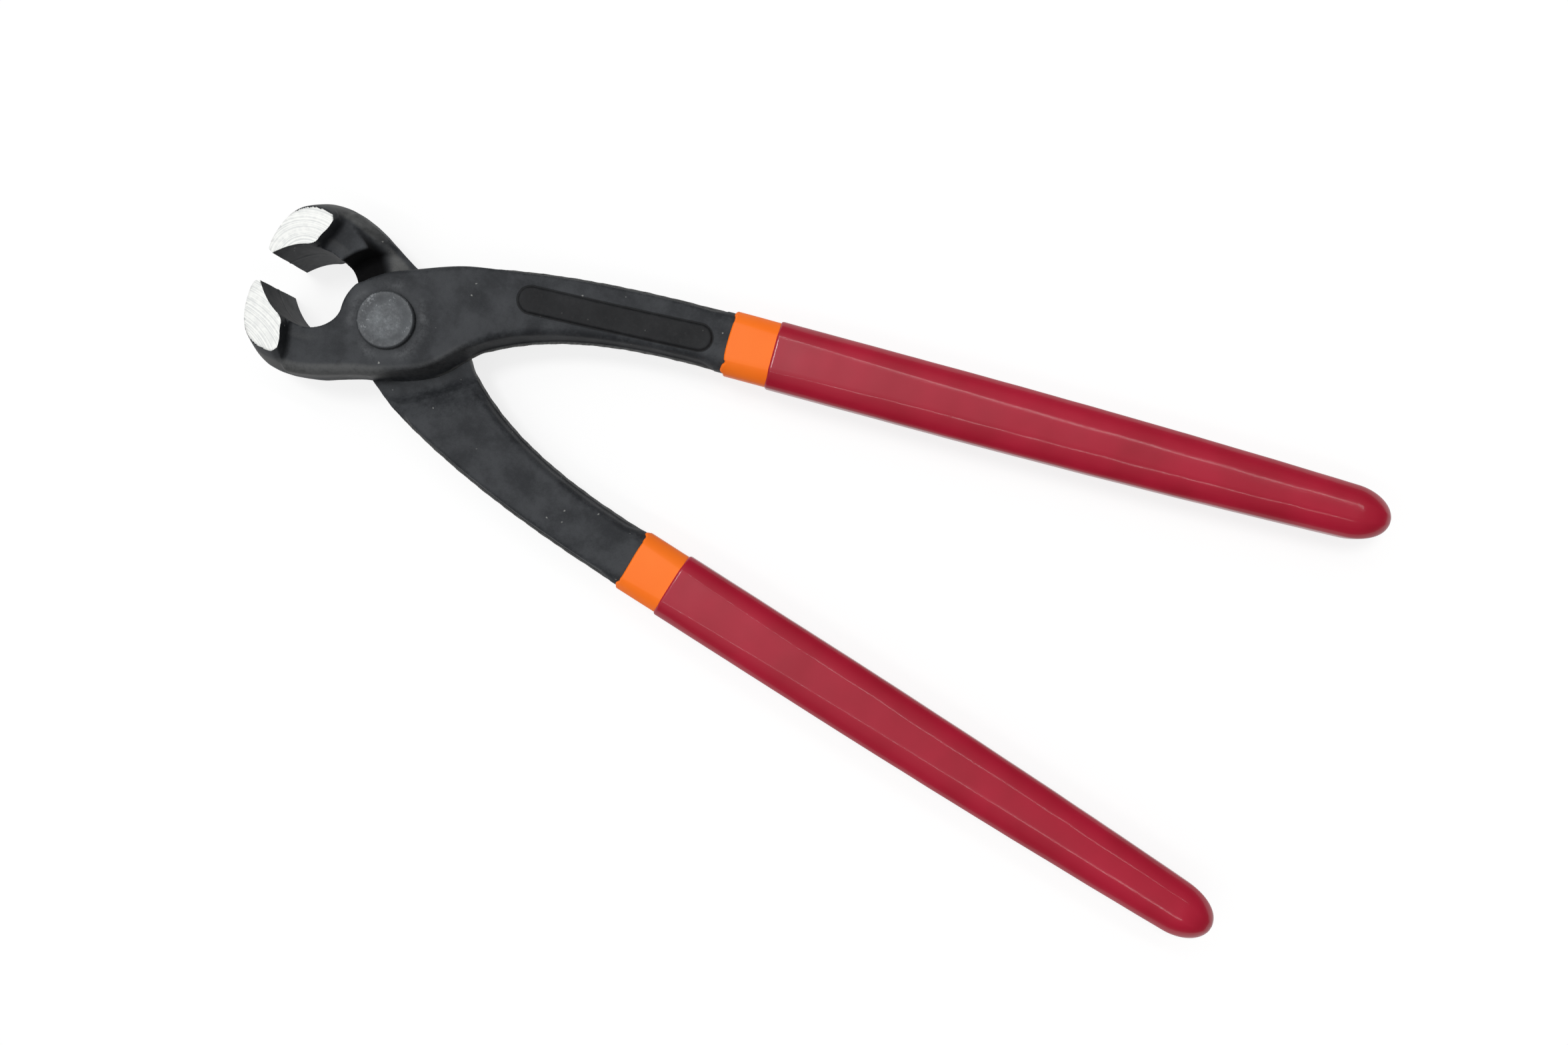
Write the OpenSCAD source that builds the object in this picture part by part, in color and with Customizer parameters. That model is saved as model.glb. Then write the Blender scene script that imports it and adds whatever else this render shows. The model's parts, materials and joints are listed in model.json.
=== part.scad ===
// Long-handled end-cutting pincers. Two identical forgings, one turned over on the other, are
// joined by a rivet, and their handles are dipped twice in soft plastic.
// One half is drawn closed, with the pivot axis on Z, its handle at +X and +Y and its jaw at
// -X and -Y. The finished tool lies on the ground ends of its jaws, open by open_deg.

/* [Opening] */
// Angle between the two halves as the tool lies, 0 when the cutting edges meet
open_deg = 13.4; // [0.4:0.1:30]

/* [Jaws and mouth] */
// Distance from the pivot axis to the cutting edges
edge_reach = 30.3; // [28:0.1:37]
// Width of the cutting edges, across the flat of the tool
jaw_w = 24; // [19:0.5:32]
// Depth of the round mouth from the middle line
mouth_depth = 7.4; // [5.5:0.1:9]
// Distance from the pivot axis to the deepest place of the mouth
mouth_x = 19.5; // [18:0.1:22]
// Distance that the nose of the jaw stands in front of its cutting edge
nose = 2.7; // [1.5:0.1:4]
// Height of the crown of the head from the middle line
crown_h = 19.3; // [17:0.1:24]
// Height of the crown of the ground end of the jaw from the middle line
face_h = 15.6; // [13:0.1:16.5]
// Distance from the pivot axis to the back edge of the ground end
face_back = 22.1; // [21.5:0.1:24]
// Length of the slope that runs from the ground end down to the cheek
slope_len = 0.5; // [0.2:0.1:3]
// Flat land left on each cutting edge
edge_land = 0.35; // [0.1:0.05:0.8]

/* [Lap joint] */
// Thickness of one half at the pivot
lap_t = 7.5; // [5.5:0.1:9]
// Gap between the two lap faces
lap_gap = 0.1; // [0.04:0.01:0.3]
// Radius of the round boss at the back of the mouth
boss_r = 11.7; // [10.5:0.1:12.5]
// Radius of the lap pocket on the jaw side
jaw_pocket_r = 17.5; // [16.5:0.1:18.5]
// Radius of the lap pocket on the handle side
neck_pocket_r = 24; // [23.5:0.1:26]

/* [Rivet] */
// Diameter of the rivet's shank
shank_d = 9; // [7:0.1:10.5]
// Radial clearance between the shank and its bores
shank_clearance = 0.05; // [0.02:0.01:0.1]
// Diameter of the rivet's heads
rivet_head_d = 14.2; // [13:0.1:17]
// Height of the rivet's heads
rivet_head_h = 1.4; // [0.8:0.1:2.5]
// Gap under each rivet head
head_gap = 0.05; // [0.02:0.01:0.2]

/* [Handles] */
// Distance from the pivot axis to the front of the orange dip
neck_len = 80.4; // [66:0.1:100]
// Distance from the middle line to the centre of the handle at that place
handle_y = 20.1; // [17:0.1:24]
// Angle between the middle line and the straight part of the handle
handle_deg = 2; // [0:0.1:6]
// Width of the steel handle
handle_w = 15; // [12:0.1:17]
// Thickness of the steel handle
handle_t = 9.2; // [7:0.1:11]
// Width of the steel handle at its far end
handle_end_w = 10.8; // [9:0.1:12]
// Width of the flat on top of the handle at the front of the dip
flat_w = 8.5; // [6:0.1:10]
// Width of the flat on top of the handle at its far end
flat_end_w = 2.4; // [1:0.1:5]
// Length of the label panel raised on one face of each handle
panel_len = 48; // [30:1:50]
// Width of the label panel
panel_w = 6.4; // [4:0.1:7]
// Height that the label panel stands above the face
panel_high = 0.4; // [0.2:0.1:1]
// Steel between the end of the panel and the front of the orange dip
panel_gap = 3.7; // [2:0.1:10]
// Distance of the panel's centre from the level of the handle's, towards the middle line
panel_low = 3.1; // [2:0.1:4]
// Slant of the panel
panel_deg = 4.9; // [3:0.1:7]

/* [Dipped coating] */
// Length of the coated part of the handle, from the front of the orange dip to the tip
grip_len = 170; // [140:1:205]
// Length of orange that the red dip leaves bare
band_len = 11.5; // [6:0.5:20]
// Thickness of the orange dip
orange_t = 0.6; // [0.3:0.05:1]
// Thickness of the red dip
red_t = 0.45; // [0.3:0.05:1]
// Thickness of each dip at the tip of the handle
tip_t = 2; // [1:0.1:4]
// Length of the rounded tip
tip_len = 9; // [6:0.5:12]

/* [Hidden] */

steel_black = "#414244";
rivet_grey = "#606366";
dip_orange = "#fe7f3b";
dip_red = "#a72c3b";

// Straight pieces that each curve of the outline is drawn with
curve_steps = 8;
// Clear height and width of a cutting shape that has to pass right through
far = 400;
// Closest that a cutting edge comes to the middle line when the tool is shut
edge_clear = 0.03;
round_fn = 64;

// Place on the closed half of a point of its handle: s along the handle from the front of the
// dip, n across it and away from the middle line
function on_handle(s, n) = [
    neck_len + s * cos(handle_deg) - n * sin(handle_deg),
    handle_y + s * sin(handle_deg) + n * cos(handle_deg)];
function polar(r, a) = r * [cos(a), sin(a)];
function bezier(p, t) =
    pow(1 - t, 3) * p[0] + 3 * pow(1 - t, 2) * t * p[1] + 3 * (1 - t) * t * t * p[2]
    + pow(t, 3) * p[3];
// The points of one curve without its last, where the next curve begins
function run(p) = [for (i = [0:curve_steps - 1]) bezier(p, i / curve_steps)];

// Key points of one half, each where two curves meet
edge = [-edge_reach, -edge_clear];
mouth_floor = [-mouth_x, -mouth_depth];
throat = polar(boss_r, 183);
boss_end = polar(boss_r, 125);
nose_low = [-edge_reach - nose, -mouth_depth + 1.4];
nose_top = [-edge_reach - 1.1, -edge_clear - edge_land];
crown = [-mouth_x - 1.5, -crown_h];
back_root = [12.3, handle_y - 1.3];
crotch = [neck_pocket_r, 0.3];
belly = [16.5, -6.8];
heel = [-0.4, -14.6];

mouth_front = run([edge, edge + [2.8, -0.61 * mouth_depth], mouth_floor - [4.5, 0], mouth_floor]);
mouth_back = run([mouth_floor, mouth_floor + [3.5, 0], throat - [0.3, 3.9], throat]);
boss = [for (i = [0:curve_steps - 1]) polar(boss_r, 183 - 58 * i / curve_steps)];
shoulder = run([boss_end, boss_end + polar(6, 35), back_root - polar(6, 16), back_root]);
back = run([back_root, back_root + polar(22.5, 16), on_handle(-22, handle_w / 2),
            on_handle(0, handle_w / 2)]);
inside = run([on_handle(0, -handle_w / 2), on_handle(-25, 0.4 - handle_w / 2),
              crotch + [14, 8.6], crotch]);
hip = concat(run([crotch, crotch - [2.5, 1.5], belly + [2, 2.3], belly]),
             run([belly, belly - [3.5, 3.7], heel + [8.5, 2.4], heel]));
arm = run([heel, heel - [6.5, 0.8], crown + [8, 0], crown]);
cheek = concat(run([crown, crown - [9, 0], nose_low - [0, 9.5], nose_low]),
               run([nose_low, nose_low + [0, 2.5], nose_top - [1.2, 0.9], nose_top]),
               [nose_top]);
half_outline = concat(mouth_front, mouth_back, boss, shoulder, back, [on_handle(0, handle_w / 2)],
                      inside, hip, arm, cheek);

// The ground end of a jaw is drawn in from the head's own outline
face_crown = [-face_back - 1.4, -face_h];
face_nose = nose_low + [0.9, 1];
face_outline = concat(
    mouth_front,
    [mouth_floor, [-mouth_x, -face_h + 2.5]],
    run([[1.4 - face_back, -face_h + 1], [0.4 - face_back, -face_h + 0.2],
         face_crown + [0.8, 0], face_crown]),
    run([face_crown, face_crown - [5.8, 0], face_nose - [-0.2, 6.8], face_nose]),
    run([face_nose, face_nose + [0, 2], nose_top - [0.7, 1], nose_top]),
    [nose_top]);

// Outer end of each dip, and of the steel inside them, for a coating d thick
steel_end = grip_len - 2 * tip_t;
function dip_end(d) = steel_end + 2 * tip_t * d / (orange_t + red_t);
taper_start = 50;
function taper(s) = pow(max(0, s - taper_start) / (grip_len - taper_start), 2);
function half_w(s) = handle_w / 2 - taper(s) * (handle_w - handle_end_w) / 2;
function half_flat(s) = flat_end_w / 2 + (flat_w - flat_end_w) / 2 * exp(-max(0, s) / 60);

// Section of a handle coated d thick: a flat above and below, a short upright side, and a
// rounded corner between them, in ring_n points
ring_n = 16;
side_h = 1.4;
corner_power = 1.3;
core_inset = 0.05;
function corner(a, b, f, h, t) = [f + (a - f) * pow(cos(t), corner_power),
                                  h + (b - h) * pow(sin(t), corner_power)];
function section(d, s) =
    let (a = half_w(s) - core_inset + d, b = handle_t / 2 - core_inset + d,
         f = half_flat(s) + 0.4 * d, h = side_h + 0.4 * d, q = ring_n / 4)
    [for (j = [0:ring_n - 1])
        let (k = floor(j / q), t = 90 * (j % q) / (q - 1),
             p = corner(a, b, f, h, k % 2 == 0 ? t : 90 - t))
        [k == 0 || k == 3 ? p.x : -p.x, k < 2 ? p.y : -p.y]];

// Rings along the surface of a handle coated d thick. They start at the places in front, and
// end in a rounded tip.
bar_runs = 12;
tip_rings = 5;
last_tip_deg = 75;
function ring(d, s, shrink) = [for (q = section(d, s)) [s, q.x * shrink, q.y * shrink]];
function skin(d, front) = concat(
    [for (s = front) ring(d, s, 1)],
    [for (i = [0:bar_runs]) ring(d, band_len + i * (dip_end(d) - tip_len - band_len) / bar_runs, 1)],
    [for (k = [1:tip_rings])
        let (u = last_tip_deg * k / tip_rings)
        ring(d, dip_end(d) - tip_len * (1 - sin(u) / sin(last_tip_deg)), cos(u))]);
function joined(rings) = [for (r = rings) each r];
function side_faces(first, rings, outward) = [
    for (i = [0:rings - 2]) for (j = [0:ring_n - 1])
        let (a = first + i * ring_n + j, b = first + i * ring_n + (j + 1) % ring_n)
        each outward ? [[a, a + ring_n, b + ring_n], [a, b + ring_n, b]]
                     : [[b + ring_n, a + ring_n, a], [b, b + ring_n, a]]];
function end_faces(first, outward) = [
    for (j = [1:ring_n - 2])
        outward ? [first, first + j + 1, first + j] : [first, first + j, first + j + 1]];

// Half of the tool's length as it lies, from its outlines turned by half of the opening
function turned_x(p, a) = [for (q = p) q.x * cos(a) - q.y * sin(a)];
tip_points = [for (q = joined(skin(orange_t + red_t, []))) on_handle(q.x, q.y)];
x_low = min(turned_x(concat(half_outline, face_outline), open_deg / 2));
x_high = max(turned_x(tip_points, open_deg / 2));
mid_x = (x_low + x_high) / 2;
echo(mid_x = mid_x, x_low = x_low, x_high = x_high);

// Sets a half of the tool down as it lies: the upper handle's half is turned one way, and the
// lower handle's half is the same shape turned over and then the other way
module lay_tool() {
    translate([-mid_x, 0, jaw_w / 2]) children();
}
module upper_place() {
    lay_tool() rotate(open_deg / 2) children();
}
module lower_place() {
    lay_tool() rotate(-open_deg / 2) rotate([180, 0, 0]) children();
}
module handle_place() {
    translate([neck_len, handle_y, 0]) rotate(handle_deg) children();
}

// Everything under the outer face of a half. The outer face drops from the lap to the handle,
// and rise lifts it. The inner face is the head's at the jaw and the handle's behind.
face_drop_start = 12;
face_drop_end = 62;
module side_profile(rise = 0) {
    rotate([90, 0, 0]) linear_extrude(far, center = true) polygon([
        [-far, lap_t + rise], [face_drop_start, lap_t + rise],
        [face_drop_end, handle_t / 2 + rise], [far, handle_t / 2 + rise],
        [far, -handle_t / 2], [0, -handle_t / 2], [0, -lap_t], [-far, -lap_t]]);
}

// What is taken off the corners of the neck, so that its section runs into that of the dipped
// handle: a plane cut that starts at nothing and is full just past the front of the dip
corner_start = -16;
corner_run = 22;
module neck_corners() {
    lean = atan((handle_t / 2 - side_h) / ((handle_w - flat_w) / 2));
    sink = atan((handle_w - flat_w) / 2 * sin(lean) / corner_run);
    for (side = [0, 1], top = [0, 1])
        handle_place() mirror([0, side, 0]) mirror([0, 0, top])
            translate([corner_start, handle_w / 2, handle_t / 2])
                rotate([-lean, 0, 0]) rotate([0, sink, 0])
                    translate([0, -handle_w / 2, 0]) cube([2 * corner_run, handle_w, handle_t]);
}

// The wide jaw: a claw whose ends are ground flat and slope down to the cheek behind
module claw() {
    intersection() {
        linear_extrude(jaw_w, center = true) polygon(face_outline);
        rotate([90, 0, 0]) linear_extrude(far, center = true) polygon([
            [-far, jaw_w / 2], [-face_back, jaw_w / 2], [slope_len - face_back, lap_t - 1],
            [slope_len - face_back, 1 - lap_t], [-face_back, -jaw_w / 2], [-far, -jaw_w / 2]]);
    }
}

// The steel inside the dipped part of the handle, which starts inside the neck
module handle_core() {
    rings = skin(0, [-5, 0]);
    handle_place() polyhedron(
        joined(rings),
        concat(end_faces(0, false), side_faces(0, len(rings), true),
               end_faces((len(rings) - 1) * ring_n, true)));
}

// Room for the other half under the lap face: round the pivot, wider on the handle side
module lap_pocket() {
    translate([0, 0, lap_gap / 2 - far]) {
        cylinder(r = jaw_pocket_r, h = far, $fn = round_fn);
        intersection() {
            cylinder(r = neck_pocket_r, h = far, $fn = round_fn);
            translate([0, -far / 2, 0]) cube([far, far, far]);
        }
    }
}

// The raised panel on the outer face of the handle, left bare
module label_panel() {
    reach = (panel_len - panel_w) / 2;
    intersection() {
        translate([neck_len - panel_gap - panel_len / 2, handle_y - panel_low, 0])
            rotate(panel_deg) linear_extrude(far) {
                for (end = [-reach, reach])
                    translate([end, 0]) circle(d = panel_w, $fn = round_fn);
                square([2 * reach, panel_w], center = true);
            }
        side_profile(panel_high);
    }
}

module closed_half() {
    difference() {
        union() {
            difference() {
                intersection() {
                    linear_extrude(far, center = true) polygon(half_outline);
                    side_profile();
                }
                neck_corners();
            }
            claw();
            handle_core();
            label_panel();
        }
        lap_pocket();
        cylinder(d = shank_d + 2 * shank_clearance, h = far, center = true, $fn = round_fn);
    }
}

// One dip of the handle: the skin of the coating at outer, less the skin at inner
module dip(inner, outer, front) {
    outer_rings = skin(outer, front);
    inner_rings = skin(inner, front);
    n = len(outer_rings);
    m = len(inner_rings);
    handle_place() polyhedron(
        concat(joined(outer_rings), joined(inner_rings)),
        concat(side_faces(0, n, true), end_faces((n - 1) * ring_n, true),
               side_faces(n * ring_n, m, false), end_faces((n + m - 1) * ring_n, false),
               [for (j = [0:ring_n - 1])
                   let (k = (j + 1) % ring_n, i = n * ring_n)
                   each [[j, k, i + k], [j, i + k, i + j]]]));
}
module orange_dip() { dip(0, orange_t, [0]); }
module red_dip() { dip(orange_t, orange_t + red_t, []); }

module lower_handle_half() { color(steel_black) lower_place() closed_half(); }
module upper_handle_half() { color(steel_black) upper_place() closed_half(); }
module lower_orange_dip() { color(dip_orange) lower_place() orange_dip(); }
module upper_orange_dip() { color(dip_orange) upper_place() orange_dip(); }
module lower_red_dip() { color(dip_red) lower_place() red_dip(); }
module upper_red_dip() { color(dip_red) upper_place() red_dip(); }

// The rivet: a shank with a low head formed on each end, worn flat on top
rivet_flat = 0.72;
module pivot_rivet() {
    top = lap_t + head_gap;
    color(rivet_grey) lay_tool() rotate_extrude($fn = round_fn) polygon([
        [0, -top - rivet_head_h], [rivet_flat * rivet_head_d / 2, -top - rivet_head_h],
        [rivet_head_d / 2, -top - 0.4 * rivet_head_h], [rivet_head_d / 2, -top],
        [shank_d / 2, -top], [shank_d / 2, top],
        [rivet_head_d / 2, top], [rivet_head_d / 2, top + 0.4 * rivet_head_h],
        [rivet_flat * rivet_head_d / 2, top + rivet_head_h], [0, top + rivet_head_h]]);
}

lower_handle_half();
upper_handle_half();
pivot_rivet();
lower_orange_dip();
lower_red_dip();
upper_orange_dip();
upper_red_dip();
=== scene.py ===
"""Looks of a pair of long-handled end-cutting pincers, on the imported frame.

Lengths in the classes are millimetres. The closed half is drawn with the pivot axis on Z, its
handle at +X and +Y and its jaw at -X and -Y, and then laid down in the frame, in metres.
"""

import json
import logging
import math
from dataclasses import dataclass, field
from enum import Enum
from typing import Any, Callable, Iterable

import bmesh
import bpy
import numpy as np
from mathutils import Matrix, Vector

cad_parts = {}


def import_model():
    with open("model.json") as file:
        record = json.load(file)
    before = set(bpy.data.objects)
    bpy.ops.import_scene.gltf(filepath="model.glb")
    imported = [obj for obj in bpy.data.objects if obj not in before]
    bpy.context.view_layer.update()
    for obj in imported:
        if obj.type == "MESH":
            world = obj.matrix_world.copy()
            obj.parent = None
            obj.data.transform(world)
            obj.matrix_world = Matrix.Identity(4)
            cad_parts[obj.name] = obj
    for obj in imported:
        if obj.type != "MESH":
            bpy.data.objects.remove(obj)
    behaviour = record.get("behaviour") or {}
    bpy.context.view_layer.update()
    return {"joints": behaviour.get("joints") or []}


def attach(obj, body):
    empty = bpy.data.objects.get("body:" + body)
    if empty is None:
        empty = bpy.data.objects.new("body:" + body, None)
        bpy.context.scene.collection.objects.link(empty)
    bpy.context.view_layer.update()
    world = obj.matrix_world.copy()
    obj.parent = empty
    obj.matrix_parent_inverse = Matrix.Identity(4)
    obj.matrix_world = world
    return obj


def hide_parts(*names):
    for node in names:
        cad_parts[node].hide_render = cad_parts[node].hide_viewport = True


LOG = logging.getLogger("pincers")
MM = 0.001

MATH = "ShaderNodeMath"
NOISE = "ShaderNodeTexNoise"
REMAP = "ShaderNodeMapRange"
MIX = "ShaderNodeMix"
VECTOR = "ShaderNodeVectorMath"

Point = tuple[float, float]
Array = np.ndarray


class Side(Enum):
    """The two turns in which the same forging is laid."""

    UPPER = "upper"
    LOWER = "lower"


def hex_to_linear(code: str) -> tuple[float, float, float, float]:
    """Turns an sRGB hex colour to linear light.

    Args:
        code: the colour, such as "#a72c3b".

    Returns:
        Red, green, blue and an alpha of 1.
    """
    parts = [int(code[i:i + 2], 16) / 255 for i in (1, 3, 5)]
    red, green, blue = [p / 12.92 if p <= 0.04045 else ((p + 0.055) / 1.055) ** 2.4 for p in parts]
    return red, green, blue, 1.0


def add_node(tree: bpy.types.NodeTree, kind: str, inputs: Any = (),
             **settings: Any) -> bpy.types.Node:
    """Adds a node with its settings and its inputs.

    Args:
        tree: the tree that gets the node.
        kind: the node's type name.
        inputs: values, sockets or nodes by socket name or number, or in the order of the sockets.
        settings: the node's own properties.

    Returns:
        The node. A node given as an input is linked from its first output.
    """
    node = tree.nodes.new(kind)
    for name, value in settings.items():
        setattr(node, name, value)
    for key, value in inputs.items() if isinstance(inputs, dict) else enumerate(inputs):
        if isinstance(value, bpy.types.Node):
            value = value.outputs[0]
        if isinstance(value, bpy.types.NodeSocket):
            tree.links.new(value, node.inputs[key])
        elif value is not None:
            node.inputs[key].default_value = value
    return node


def add_object(name: str, data: Any) -> bpy.types.Object:
    """Adds an object to the scene.

    Args:
        name: the object's name.
        data: its mesh, lamp or camera.

    Returns:
        The object.
    """
    obj = bpy.data.objects.new(name, data)
    bpy.context.scene.collection.objects.link(obj)
    return obj


def add_mesh(name: str, points: Iterable, faces: Iterable) -> bpy.types.Object:
    """Adds an object with a new mesh to the scene.

    Args:
        name: the name of both.
        points: the mesh's points.
        faces: the point numbers of each of its faces.

    Returns:
        The object.
    """
    mesh = bpy.data.meshes.new(name)
    mesh.from_pydata(points, [], faces)
    return add_object(name, mesh)


def apply_modifiers(obj: bpy.types.Object) -> None:
    """Gives an object the plain mesh that its modifiers make of it, and removes them.

    Args:
        obj: the object.
    """
    seen = obj.evaluated_get(bpy.context.evaluated_depsgraph_get())
    mesh, old = bpy.data.meshes.new_from_object(seen), obj.data
    obj.modifiers.clear()
    obj.data = mesh
    bpy.data.meshes.remove(old)
    mesh.name = obj.name


def shade_smooth(mesh: bpy.types.Mesh, sharp_deg: float) -> None:
    """Shades a mesh smooth but for its sharp edges.

    Args:
        mesh: the mesh.
        sharp_deg: the turn past which an edge is sharp.
    """
    for polygon in mesh.polygons:
        polygon.use_smooth = True
    mesh.set_sharp_from_angle(angle=math.radians(sharp_deg))


def ramp(value: Array, low: float, high: float) -> Array:
    """Rises from 0 at low to 1 at high on an even S."""
    t = np.clip((value - low) / (high - low), 0, 1)
    return t * t * (3 - 2 * t)


def round_meet(a: Array, b: Array, radius: Any) -> Array:
    """Field of what two solids share, with the edge between them rounded."""
    return np.minimum(np.maximum(a, b), -radius) + np.hypot(
        np.maximum(a + radius, 0), np.maximum(b + radius, 0))


def round_join(a: Array, b: Array, radius: Any) -> Array:
    """Field of two solids put together, with a fillet in the corner between them."""
    return np.maximum(np.minimum(a, b), radius) - np.hypot(
        np.maximum(radius - a, 0), np.maximum(radius - b, 0))


def polar(radius: float, degrees: float) -> Array:
    """The vector of a length at an angle."""
    return radius * np.array([math.cos(math.radians(degrees)), math.sin(math.radians(degrees))])


def curve(points: Iterable[Point], steps: int = 24) -> list[Array]:
    """Points of a cubic curve without its last, where the next curve begins.

    Args:
        points: its two ends and, between them, its two handles.
        steps: straight pieces that it is drawn with.

    Returns:
        The points in order.
    """
    a, b, c, d = (np.array(p, dtype=float) for p in points)
    return [(1 - t) ** 3 * a + 3 * (1 - t) ** 2 * t * b + 3 * (1 - t) * t * t * c + t ** 3 * d
            for t in np.arange(steps) / steps]


def tube_faces(rows: int, around: int) -> list[tuple[int, ...]]:
    """Faces of a closed tube, from its first point over rings of points to its last.

    Args:
        rows: how many rings it has.
        around: how many points a ring has.

    Returns:
        The point numbers of each face.
    """
    last, faces = 1 + (rows - 1) * around, []
    for j in range(around):
        k = (j + 1) % around
        faces.append((0, 1 + j, 1 + k))
        for a in range(1, last, around):
            faces.append((a + j, a + around + j, a + around + k, a + k))
        faces.append((last + j, last + around, last + k))
    return faces


@dataclass
class PlanField:
    """Distance to a flat outline, negative inside, held on a grid and read between its points."""

    outline: list[Array]
    low: Point = (-36.0, -24.0)
    high: Point = (92.0, 36.0)
    step: float = 0.15
    table: Array = field(init=False)

    def __post_init__(self) -> None:
        """Measures the distance from every point of the grid to every side of the outline."""
        x, y = (np.arange(a, b, self.step) for a, b in zip(self.low, self.high))
        x, y = x[:, None], y[None, :]
        square = np.full((x.size, y.size), np.inf)
        inside = np.zeros(square.shape, dtype=bool)
        for a, b in zip(self.outline, self.outline[1:] + self.outline[:1]):
            dx, dy = b - a
            t = np.clip(((x - a[0]) * dx + (y - a[1]) * dy) / (dx * dx + dy * dy), 0, 1)
            square = np.minimum(square, (x - a[0] - t * dx) ** 2 + (y - a[1] - t * dy) ** 2)
            if dy:
                spans = (a[1] > y) != (b[1] > y)
                inside ^= spans & (x < a[0] + dx * (y - a[1]) / dy)
        self.table = np.where(inside, -1, 1) * np.sqrt(square)

    def at(self, x: Array, y: Array) -> Array:
        """Reads the distance at any places.

        Args:
            x, y: coordinates, of shapes that go together.

        Returns:
            The distance at each place.
        """
        u = np.clip((x - self.low[0]) / self.step, 0, self.table.shape[0] - 1.001)
        v = np.clip((y - self.low[1]) / self.step, 0, self.table.shape[1] - 1.001)
        u, v = np.broadcast_arrays(u, v)
        i, j = u.astype(int), v.astype(int)
        u, v, t = u - i, v - j, self.table
        return ((t[i, j] * (1 - u) + t[i + 1, j] * u) * (1 - v)
                + (t[i, j + 1] * (1 - u) + t[i + 1, j + 1] * u) * v)


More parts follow.
